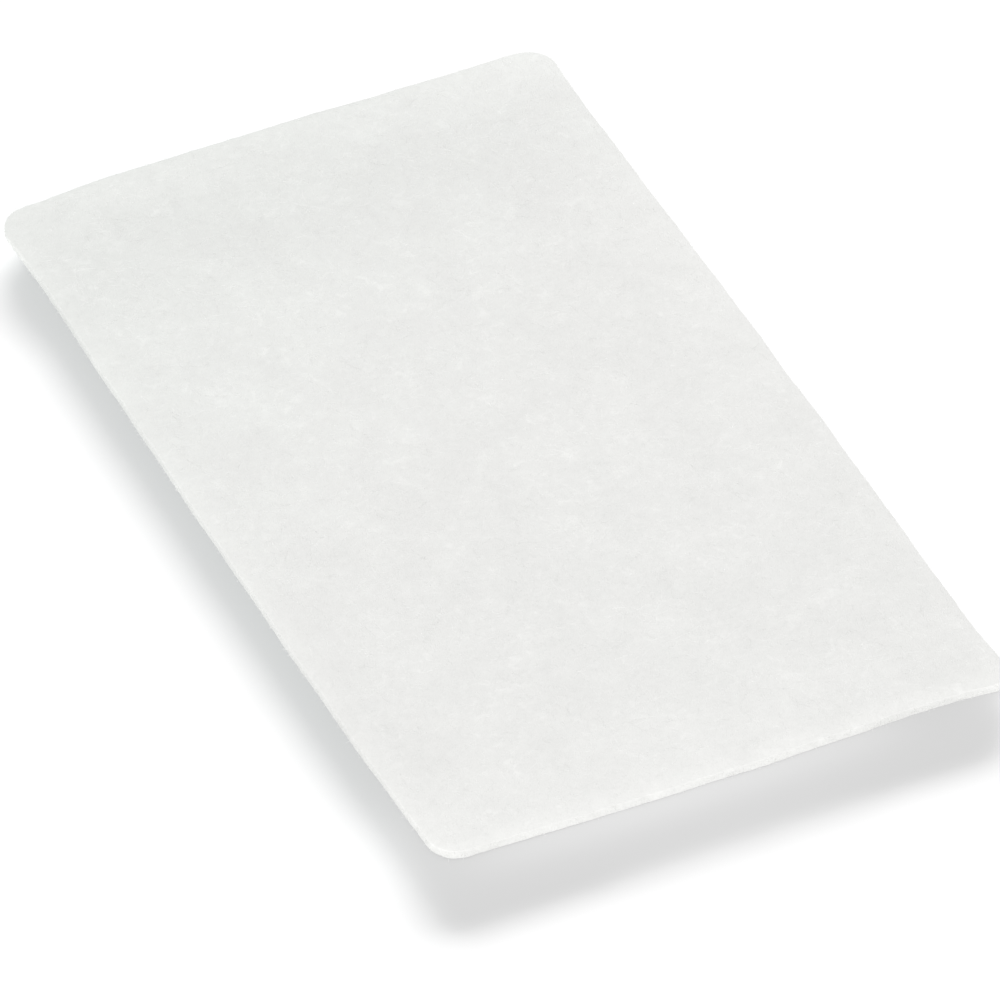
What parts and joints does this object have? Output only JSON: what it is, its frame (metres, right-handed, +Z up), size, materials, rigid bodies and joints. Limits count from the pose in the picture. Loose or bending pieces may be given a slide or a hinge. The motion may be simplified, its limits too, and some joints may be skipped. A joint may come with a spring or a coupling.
{
  "type": "cpap filter pad",
  "caption": "Thin soft rectangular pad of white felted fibre with rounded corners, which cleans the air drawn into a bedside breathing machine.",
  "frame": {"origin": "middle of the underside, which lies flat on the surface", "axes": "+X across the pad's width, +Y along its length, +Z up through its thickness"},
  "size_m": [0.036, 0.062, 0.0008],
  "materials": {
    "white_felt": "soft matt white felt of fine matted fibres, with faint clouds and short loose hairs"
  },
  "bodies": {
    "root": {"filter_pad": "white_felt"}
  },
  "joints": []
}
